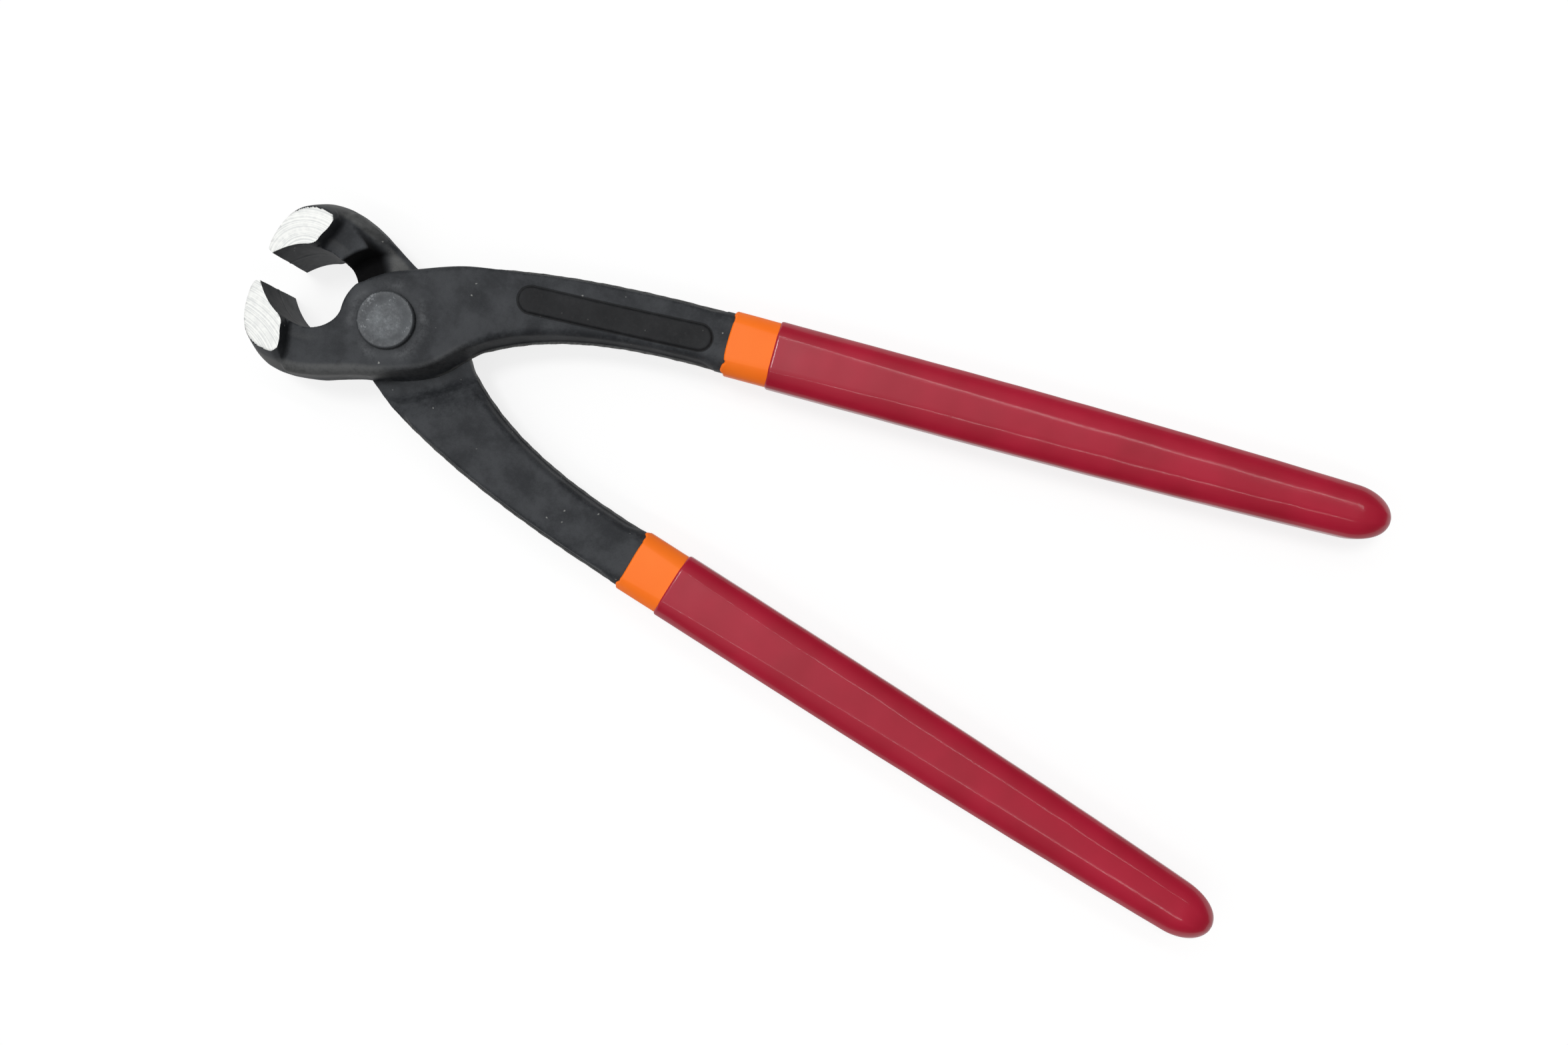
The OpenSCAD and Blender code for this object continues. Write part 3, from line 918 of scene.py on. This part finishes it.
        smooth = add_node(tree, "GeometryNodeSetShadeSmooth", {"Geometry": closed})
        real = add_node(tree, "GeometryNodeRealizeInstances", {"Geometry": smooth})
        done = add_node(tree, "GeometryNodeSetMaterial", {"Geometry": real, "Material": material})
        add_node(tree, "NodeGroupOutput", [done])

        obj = add_mesh(name, [], [])
        modifier = obj.modifiers.new("coat", "NODES")
        modifier.node_group = tree
        for item in tree.interface.items_tree:
            if item.in_out == "INPUT":
                modifier[item.identifier] = values[item.name]
        apply_modifiers(obj)
        work = bmesh.new()
        work.from_mesh(obj.data)
        bmesh.ops.recalc_face_normals(work, faces=work.faces)
        work.to_mesh(obj.data)
        work.free()
        start = Matrix.Translation((*handle.on(0, 0), 0))
        obj.data.transform(place @ start @ Matrix.Rotation(math.radians(handle.degrees), 4, "Z"))
        return obj


@dataclass
class Rivet:
    """The pivot rivet: a shank between two low heads, each dished a little inside its rim."""

    shank_r: float = 4.5
    head_r: float = 7.1
    head_high: float = 1.4
    head_foot: float = 7.55
    rim_high: float = 0.5
    rim_r: float = 6.55
    dish_r: float = 3.6
    dish_deep: float = 0.4
    middle_r: float = 0.6
    segments: int = 128
    rings: int = 36
    sharp_deg: float = 50.0

    def profile(self) -> list[Point]:
        """Draws half of the rivet's outline.

        Returns:
            Radius and height of each point, from the middle of the top to the shank.
        """
        top = self.head_foot + self.head_high
        points = [(0.0, top - self.dish_deep)]
        drop = self.head_high - self.rim_high
        for i in range(self.rings + 1):
            part = math.sin(i / self.rings * math.pi / 2)
            radius = self.middle_r + (self.head_r - self.middle_r) * part
            fall = max(0.0, (radius - self.rim_r) / (self.head_r - self.rim_r))
            wall = float(ramp(radius, self.dish_r, self.rim_r))
            points.append((radius, top - self.dish_deep * (1 - wall)
                           - drop * (1 - math.sqrt(max(0.0, 1 - fall ** 2.2)))))
        return points + [(self.head_r - 0.04, self.head_foot + 0.12),
                         (self.head_r - 0.2, self.head_foot), (self.shank_r, self.head_foot)]

    def build(self, place: Matrix) -> bpy.types.Object:
        """Makes the rivet's mesh in its place in the frame.

        Args:
            place: from the pivot, in millimetres, to the frame.

        Returns:
            The object.
        """
        half = self.profile()
        profile = half + [(r, -z) for r, z in reversed(half)]
        points = [(0.0, 0.0, profile[0][1])]
        for r, z in profile[1:-1]:
            points += [(r * math.cos(a), r * math.sin(a), z)
                       for a in np.arange(self.segments) * math.tau / self.segments]
        points.append((0.0, 0.0, profile[-1][1]))
        obj = add_mesh("turned_rivet", points, tube_faces(len(profile) - 2, self.segments))
        obj.data.transform(place)
        shade_smooth(obj.data, self.sharp_deg)
        return obj


def new_material(name: str) -> tuple[bpy.types.Material, bpy.types.NodeTree, bpy.types.Node]:
    """Adds a material whose tree holds only the nodes that place each point in millimetres.

    Args:
        name: the material's name.

    Returns:
        The material, its tree, and the node that gives the object's coordinates in millimetres.
    """
    material = bpy.data.materials.new(name)
    material.use_nodes = True
    material.node_tree.nodes.clear()
    tree = material.node_tree
    spot = add_node(tree, "ShaderNodeTexCoord")
    scaled = add_node(tree, "ShaderNodeMapping", {"Vector": spot.outputs["Object"],
                                                  "Scale": (1 / MM, 1 / MM, 1 / MM)})
    return material, tree, scaled


def distance_aside(tree: bpy.types.NodeTree, spot: bpy.types.Node, centre: Vector) -> Any:
    """Adds the nodes that measure how far each point is from an upright line.

    Args:
        tree: the material's tree.
        spot: the node that gives the points.
        centre: a point of the line.

    Returns:
        The distance's socket.
    """
    away = add_node(tree, VECTOR, [spot, tuple(centre)], operation="SUBTRACT")
    away = add_node(tree, VECTOR, [away, (1.0, 1.0, 0.0)], operation="MULTIPLY")
    return add_node(tree, VECTOR, [away], operation="LENGTH").outputs["Value"]


def end_tree(tree: bpy.types.NodeTree, first: str, layers: list[tuple[Any, str]],
             relief: tuple[Any, float, float], look: dict[str, Any],
             normals: tuple[str, ...] = ("Normal",)) -> None:
    """Ends a material's tree: the colours over each other, the bump, the shader, the output.

    Args:
        tree: the material's tree.
        first: the lowest colour as a hex code.
        layers: the share and the hex code of each colour over it.
        relief: the bump's height, its strength, and its distance in metres.
        look: the shader's other inputs.
        normals: the shader's inputs that get the bump.
    """
    colour = hex_to_linear(first)
    for share, code in layers:
        colour = add_node(tree, MIX, {"Factor": share, "A": colour, "B": hex_to_linear(code)},
                          data_type="RGBA").outputs["Result"]
    height, strength, distance = relief
    bump = add_node(tree, "ShaderNodeBump", {"Strength": strength, "Distance": distance,
                                             "Height": height})
    shader = add_node(tree, "ShaderNodeBsdfPrincipled", {
        "Base Color": colour, **look, **{label: bump for label in normals}})
    add_node(tree, "ShaderNodeOutputMaterial", [shader])


@dataclass(frozen=True)
class BlackenedSteel:
    """Drop-forged carbon steel, shot blasted and heat blackened.

    Dark grey with a dry, fine-grained surface: cloudy scale and a few pale scuffs, with painted
    shade in the lap joint's corner and in the panel's groove, and painted light on some edges.
    """

    name: str = "blackened_forged_steel"
    base: str = "#3c3e41"
    cloud: str = "#282a2d"
    rubbed: str = "#5a5b5b"
    # Paler ring round the pivot: rub marks and a painted sheen
    polish_and_painted_sheen: str = "#646668"
    scuff: str = "#b4b4b0"
    # Paler edges and flash: wear and painted light
    worn: str = "#6d6d6b"
    # The panel's darker tone, and painted shade in its groove
    groove: str = "#161617"
    # Painted shadow for the lap joint's corner
    painted_shadow: str = "#09090a"
    roughness: float = 0.62
    metallic: float = 0.12
    ring_r: float = 8.9
    ring_half: float = 1.9
    panel_share: float = 0.75
    groove_shade_share: float = 0.85

    def build(self, side: Side, pivot: Vector, panel: Matrix, size: Point) -> bpy.types.Material:
        """Makes the material of one forging.

        Args:
            side: the half that it is on.
            pivot: the pivot's place in the frame, in millimetres.
            panel: the place of the raised panel's middle in the frame.
            size: half of the panel's straight length, and its end radius.

        Returns:
            The material.
        """
        material, tree, spot = new_material(f"{self.name}_{side.value}")
        bend, painted_shadow, worn = (
            add_node(tree, "ShaderNodeAttribute", attribute_name=label).outputs["Fac"]
            for label in ("bend", "painted_shadow", "worn"))
        # Cloudy scale, 7 mm across, and the blasted grain, 1.1 and 0.25 mm
        clouds = add_node(tree, NOISE, {"Vector": spot, "Scale": 0.14, "Detail": 4.0})
        grain = add_node(tree, NOISE, {"Vector": spot, "Scale": 0.9, "Detail": 5.0,
                                       "Roughness": 0.75})
        fine = add_node(tree, NOISE, {"Vector": spot, "Scale": 4.2, "Detail": 2.0})
        tone = add_node(tree, MATH, [grain, 0.8, clouds], operation="MULTIPLY_ADD")
        tone = add_node(tree, REMAP, [tone, 0.76, 1.04, 0.0, 1.0])
        edge = add_node(tree, MATH, [grain, 0.5, bend], operation="MULTIPLY_ADD")
        edge = add_node(tree, REMAP, [edge, 0.46, 0.72, 0.0, 0.35])
        # The sheared flash and the round outer edges of the arms are paler, partly rubbed and
        # partly painted light
        broken = add_node(tree, REMAP, [grain, 0.3, 0.6, 0.55, 1.0])
        worn = add_node(tree, MATH, [worn, broken], operation="MULTIPLY")
        # Knocks, bright specks 0.3 to 0.5 mm across and about 10 mm apart
        torn = add_node(tree, NOISE, {"Vector": spot, "Scale": 2.5}).outputs["Color"]
        torn = add_node(tree, VECTOR, [torn, (0.5, 0.5, 0.5), spot], operation="MULTIPLY_ADD")
        mark = add_node(tree, "ShaderNodeTexVoronoi", {"Vector": torn, "Scale": 0.24})
        mark = add_node(tree, REMAP, [mark.outputs["Distance"], 0.03, 0.07, 0.5, 0.0])
        # A broken paler ring round the pivot: partly rubbed by the other half and the rivet, partly
        # a painted sheen of the eye's curved edge
        patch = add_node(tree, NOISE, {"Vector": spot, "Scale": 0.11, "Detail": 1.0})
        ring = add_node(tree, MATH, [distance_aside(tree, spot, pivot), self.ring_r],
                        operation="SUBTRACT")
        ring = add_node(tree, MATH, [ring], operation="ABSOLUTE")
        ring = add_node(tree, REMAP, [ring, self.ring_half, 0.2, 0.0, 0.5])
        for kept in ([patch, 0.46, 0.62], [grain, 0.35, 0.65]):
            kept = add_node(tree, REMAP, [*kept, 0.0, 1.0])
            ring = add_node(tree, MATH, [ring, kept], operation="MULTIPLY")
        # The die leaves a fine groove, 0.4 mm wide, round the raised panel; it is bumped in and
        # darkened with painted shade
        local = add_node(tree, "ShaderNodeMapping", {
            "Vector": add_node(tree, "ShaderNodeTexCoord").outputs["Object"],
            "Location": panel.to_translation(), "Rotation": panel.to_euler(),
            "Scale": (MM, MM, MM)}, vector_type="TEXTURE")
        local = add_node(tree, "ShaderNodeSeparateXYZ", [local]).outputs
        beyond = add_node(tree, MATH, [local["X"]], operation="ABSOLUTE")
        beyond = add_node(tree, MATH, [beyond, size[0]], operation="SUBTRACT")
        beyond = add_node(tree, MATH, [beyond, 0.0], operation="MAXIMUM")
        away = add_node(tree, "ShaderNodeCombineXYZ", [beyond, local["Y"], 0.0])
        away = add_node(tree, VECTOR, [away], operation="LENGTH").outputs["Value"]
        top = add_node(tree, MATH, [local["Z"], 1.0], operation="GREATER_THAN")
        inside = add_node(tree, REMAP, [away, size[1] + 0.1, size[1] - 0.15, 0.0, 1.0])
        groove = add_node(tree, MATH, [away, size[1] + 0.2], operation="SUBTRACT")
        groove = add_node(tree, MATH, [groove], operation="ABSOLUTE")
        groove = add_node(tree, REMAP, [groove, 0.12, 0.3, 1.0, 0.0])
        inside, groove = (add_node(tree, MATH, [area, top], operation="MULTIPLY")
                          for area in (inside, groove))
        # The panel's darker tone, and painted shade in the groove round it
        panel_dark, groove_painted_shade = (
            add_node(tree, MATH, [area, share], operation="MULTIPLY")
            for area, share in ((inside, self.panel_share), (groove, self.groove_shade_share)))
        # Painted shadow comes last, since it keeps the corner of the lap joint black
        layers = [(tone, self.base), (edge, self.rubbed), (worn, self.worn), (mark, self.scuff),
                  (ring, self.polish_and_painted_sheen), (panel_dark, self.groove), (groove_painted_shade, self.groove),
                  (painted_shadow, self.painted_shadow)]
        rough = add_node(tree, REMAP, [grain, 0.3, 0.7, self.roughness - 0.08,
                                       self.roughness + 0.1])
        rough = add_node(tree, MATH, [painted_shadow, 0.35, rough], operation="MULTIPLY_ADD")
        height = add_node(tree, MATH, [fine, 0.5, grain], operation="MULTIPLY_ADD")
        height = add_node(tree, MATH, [groove, -4.0, height], operation="MULTIPLY_ADD")
        end_tree(tree, self.cloud, layers, (height, 0.6, 0.00004), {
            "Metallic": self.metallic, "Roughness": rough, "Specular IOR Level": 0.2})
        return material


@dataclass(frozen=True)
class GroundSteel:
    """The bare ends of the jaws, surface ground: nearly white, with fine curved wheel lines."""

    name: str = "surface_ground_steel"
    base: str = "#e6e7e4"
    line: str = "#cccecd"
    roughness: float = 0.5
    metallic: float = 0.15

    def build(self, side: Side, centre: Vector) -> bpy.types.Material:
        """Makes the material.

        Args:
            side: the half whose jaw it is on.
            centre: the middle of the wheel lines in the frame, in millimetres.

        Returns:
            The material.
        """
        material, tree, spot = new_material(f"{self.name}_{side.value}")
        away = add_node(tree, VECTOR, [spot, tuple(centre)], operation="DISTANCE")
        # Wheel lines 0.4 to 1 mm apart
        rings = add_node(tree, NOISE, {"W": away.outputs["Value"], "Scale": 2.6, "Detail": 3.0},
                         noise_dimensions="1D")
        blotch = add_node(tree, NOISE, {"Vector": spot, "Scale": 0.9, "Detail": 3.0})
        both = add_node(tree, MATH, [blotch, 0.5, rings], operation="MULTIPLY_ADD")
        tone = add_node(tree, REMAP, [both, 0.6, 0.84, 0.0, 1.0])
        end_tree(tree, self.line, [(tone, self.base)], (rings, 0.2, 0.00002), {
            "Metallic": self.metallic, "Roughness": self.roughness})
        return material


@dataclass(frozen=True)
class RivetSteel:
    """The rivet, blackened like the halves and rubbed paler in the middle of its heads."""

    name: str = "rubbed_rivet_steel"
    base: str = "#3a3c3f"
    rubbed: str = "#595d60"
    scuff: str = "#84878a"
    roughness: float = 0.5
    metallic: float = 0.25
    rubbed_off: Point = (0.8, -0.4)

    def build(self, pivot: Vector) -> bpy.types.Material:
        """Makes the material.

        Args:
            pivot: the pivot's place in the frame, in millimetres.

        Returns:
            The material.
        """
        material, tree, spot = new_material(self.name)
        # Grain 0.7 mm across, in patches of 3 mm
        grain = add_node(tree, NOISE, {"Vector": spot, "Scale": 1.5, "Detail": 4.0,
                                       "Roughness": 0.6})
        patch = add_node(tree, NOISE, {"Vector": spot, "Scale": 0.3, "Detail": 4.0})
        away = distance_aside(tree, spot, pivot + Vector((*self.rubbed_off, 0)))
        middle = add_node(tree, REMAP, [away, 2.5, 6.8, 1.0, 0.25])
        tone = add_node(tree, REMAP, [patch, 0.35, 0.58, 0.35, 1.0])
        tone = add_node(tree, MATH, [middle, tone], operation="MULTIPLY")
        mark = add_node(tree, MATH, [patch, 0.8, grain], operation="MULTIPLY_ADD")
        mark = add_node(tree, REMAP, [mark, 1.02, 1.14, 0.0, 0.7])
        rough = add_node(tree, REMAP, [grain, 0.3, 0.7, self.roughness - 0.06,
                                       self.roughness + 0.1])
        end_tree(tree, self.base, [(tone, self.rubbed), (mark, self.scuff)],
                 (grain, 0.5, 0.00004), {"Metallic": self.metallic, "Roughness": rough,
                                         "Specular IOR Level": 0.4})
        return material


@dataclass(frozen=True)
class DippedVinyl:
    """Plastisol, a soft PVC that the handle is dipped in and that cures with a skin.

    Smooth and evenly coloured, with faint runs along the handle and a fine orange-peel skin.
    """

    name: str
    base: str
    deep: str
    roughness: float
    coat: float

    def build(self) -> bpy.types.Material:
        """Makes the material.

        Returns:
            The material.
        """
        material, tree, spot = new_material(self.name)
        # Runs 12 mm across and the orange peel, 0.45 mm
        clouds = add_node(tree, NOISE, {"Vector": spot, "Scale": 0.08, "Detail": 2.0})
        peel = add_node(tree, NOISE, {"Vector": spot, "Scale": 2.2, "Detail": 2.0,
                                      "Roughness": 0.6})
        tone = add_node(tree, REMAP, [clouds, 0.3, 0.7, 0.0, 1.0])
        end_tree(tree, self.deep, [(tone, self.base)], (peel, 0.3, 0.00002), {
            "Roughness": self.roughness, "IOR": 1.53, "Specular IOR Level": 0.2,
            "Coat Weight": self.coat, "Coat Roughness": 0.12}, ("Normal", "Coat Normal"))
        return material


@dataclass
class Pincers:
    """The whole tool, laid open as it lies in the frame."""

    pivot: Vector
    open_deg: float = 13.4
    handle: HandleSizes = field(default_factory=HandleSizes)
    wheel: dict[Side, Point] = field(default_factory=lambda: {
        Side.UPPER: (-36.0, -26.0), Side.LOWER: (-22.5, -2.0)})

    def place(self, side: Side) -> Matrix:
        """Lays a half in the frame.

        Args:
            side: the half.

        Returns:
            The move from the closed half, in millimetres, to the frame.
        """
        turn = math.radians(self.open_deg / 2)
        laid = Matrix.Rotation(turn if side is Side.UPPER else -turn, 4, "Z")
        if side is Side.LOWER:
            laid = laid @ Matrix.Rotation(math.pi, 4, "X")
        return Matrix.Scale(MM, 4) @ Matrix.Translation(self.pivot / MM) @ laid

    def add(self, obj: bpy.types.Object, body: str, node: str, slot: str) -> None:
        """Gives a finished piece its body, and hides the CAD node that it stands for.

        Args:
            obj: the piece.
            body: the body that it moves with.
            node: the CAD node that it replaces.
            slot: not used.
        """
        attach(obj, body)
        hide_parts(node)
        LOG.info("%s on %s for %s: %d faces", obj.name, body, node, len(obj.data.polygons))

    def build(self) -> None:
        """Makes every piece of the tool."""
        coats = (
            (Dip("orange", 0.0, 0.6, 0.0, 2.8, 0.5, 3.1),
             DippedVinyl("orange_plastisol", "#ff7a1e", "#fd7418", 0.5, 0.0)),
            (Dip("red", 0.6, 1.05, 11.5, 0.5, 0.6, 11.7),
             DippedVinyl("red_plastisol", "#aa1230", "#9c0e28", 0.45, 0.45)))
        finishes = [finish.build() for _, finish in coats]
        for side in Side:
            place, body = self.place(side), f"{side.value}_half"
            forging = ForgedHalf(self.handle)
            steel = BlackenedSteel().build(side, self.pivot / MM,
                                           place @ forging.panel_frame(), forging.panel_size())
            shown = forging.face_half if side is Side.UPPER else -forging.face_half
            centre = place @ Vector((*self.wheel[side], shown))
            ground = GroundSteel().build(side, centre / MM)
            half = forging.build(f"{side.value}_forging", place, steel, ground)
            self.add(half, body, f"{side.value}_handle_half", "blackened_steel")
            for (dip, _), finish in zip(coats, finishes):
                obj = dip.build(side, self.handle, place, finish)
                self.add(obj, body, f"{side.value}_{dip.name}_dip", f"{dip.name}_plastic")
        rivet = Rivet().build(Matrix.Scale(MM, 4) @ Matrix.Translation(self.pivot / MM))
        rivet.data.materials.append(RivetSteel().build(self.pivot / MM))
        self.add(rivet, "lower_half", "pivot_rivet", "rivet_steel")


@dataclass(frozen=True)
class Studio:
    """Pale floor, soft light from all round, a hard light and a narrow lamp along each handle."""

    aim: Point = (-0.02, 0.0)
    aim_high: float = 0.01
    sun_strength: float = 1.12
    sun_width: float = 14.0
    sun_high: float = 74.0
    sun_turn: float = 158.0
    strip_watts: float = 0.75
    strip_size: Point = (1.0, 0.012)
    strip_out: float = 0.24
    strip_up: float = 0.66
    floor_size: float = 3.0
    floor_down: float = 0.0002
    lens_mm: float = 31.85
    camera_place: tuple[float, float, float] = (0.0065, -0.0118, 0.3565)
    camera_turn: float = 23.85
    camera_shift: Point = (-0.006, 0.0196)

    def floor(self) -> None:
        """Lays the floor: white to the camera and in gloss, pale to other light."""
        h = self.floor_size / 2
        obj = add_mesh("floor", [(-h, -h, 0), (h, -h, 0), (h, h, 0), (-h, h, 0)], [(0, 1, 2, 3)])
        obj.location.z = -self.floor_down
        material = bpy.data.materials.new("pale_floor")
        material.use_nodes = True
        tree = material.node_tree
        tree.nodes.clear()
        path = add_node(tree, "ShaderNodeLightPath")
        seen = add_node(tree, MATH, [path.outputs["Is Camera Ray"], path.outputs["Is Glossy Ray"]],
                        operation="MAXIMUM")
        seen = add_node(tree, MATH, [seen, path.outputs["Is Transmission Ray"]],
                        operation="MAXIMUM")
        matt = add_node(tree, "ShaderNodeBsdfDiffuse", {"Color": (0.8, 0.8, 0.8, 1)})
        glow = add_node(tree, "ShaderNodeEmission", {"Color": (1, 1, 1, 1), "Strength": 0.8})
        shade = add_node(tree, "ShaderNodeBsdfDiffuse", {"Color": (0.22, 0.22, 0.22, 1)})
        white = add_node(tree, "ShaderNodeAddShader", [glow, shade])
        mixed = add_node(tree, "ShaderNodeMixShader", [seen, matt, white])
        add_node(tree, "ShaderNodeOutputMaterial", [mixed])
        obj.data.materials.append(material)

    def lamp(self, name: str, kind: str, source: Vector, power: float, **settings: Any) -> None:
        """Hangs a lamp that points at the tool.

        Args:
            name: the lamp's name.
            kind: "SUN" or "AREA".
            source: its place.
            power: its watts, or the sun's strength.
            settings: the lamp's own sizes.
        """
        data = bpy.data.lights.new(name, kind)
        data.energy = power
        for label, value in settings.items():
            setattr(data, label, value)
        obj = add_object(name, data)
        obj.location = source
        away = source - Vector((*self.aim, self.aim_high))
        obj.rotation_euler = away.to_track_quat("Z", "Y").to_euler()

    def world(self) -> None:
        """Light from all round: dim low down, bright above, brightest over the head's end."""
        world = bpy.data.worlds.new("studio")
        bpy.context.scene.world = world
        world.use_nodes = True
        tree = world.node_tree
        tree.nodes.clear()
        spot = add_node(tree, "ShaderNodeTexCoord").outputs["Generated"]
        spot = add_node(tree, "ShaderNodeSeparateXYZ", [spot])
        rise = add_node(tree, REMAP, [spot.outputs["Z"], 0.25, 0.7, 0.08, 0.5],
                        interpolation_type="SMOOTHSTEP")
        near = add_node(tree, REMAP, [spot.outputs["X"], 0.5, -0.6, 0.45, 1.7],
                        interpolation_type="SMOOTHSTEP")
        level = add_node(tree, MATH, [rise, near], operation="MULTIPLY")
        path = add_node(tree, "ShaderNodeLightPath")
        sky = add_node(tree, "ShaderNodeBackground", {"Color": (1, 1, 1, 1), "Strength": level})
        white = add_node(tree, "ShaderNodeBackground", {"Color": (1, 1, 1, 1), "Strength": 1.0})
        mixed = add_node(tree, "ShaderNodeMixShader", [path.outputs["Is Camera Ray"], sky, white])
        add_node(tree, "ShaderNodeOutputWorld", [mixed])

    def camera(self) -> None:
        """Sets the camera straight above the tool, at the photograph's turn."""
        data = bpy.data.cameras.new("camera")
        data.lens, data.sensor_width = self.lens_mm, 36.0
        data.shift_x, data.shift_y = self.camera_shift
        data.clip_start = 0.01
        obj = add_object("camera", data)
        obj.location = self.camera_place
        obj.rotation_euler = (0, 0, math.radians(self.camera_turn))
        bpy.context.scene.camera = obj

    def build(self) -> None:
        """Sets up floor, lamps, world and camera."""
        self.floor()
        level, rise = polar(1.0, self.sun_high)
        way = Vector((*polar(level, self.sun_turn), rise))
        self.lamp("key", "SUN", Vector((*self.aim, self.aim_high)) + way, self.sun_strength,
                  angle=math.radians(self.sun_width))
        for name, way in (("far_strip", 1), ("near_strip", -1)):
            source = Vector((*self.aim, 0)) + Vector((0, self.strip_out * way, self.strip_up))
            self.lamp(name, "AREA", source, self.strip_watts, shape="RECTANGLE",
                      size=self.strip_size[0], size_y=self.strip_size[1])
        self.world()
        self.camera()
        bpy.context.scene.view_settings.view_transform = "Standard"


def main() -> None:
    """Loads the frame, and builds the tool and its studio."""
    logging.basicConfig(level=logging.INFO, format="%(name)s: %(message)s")
    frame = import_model()
    Pincers(Vector(frame["joints"][0]["pos_m"])).build()
    Studio().build()


if __name__ == "__main__":
    main()
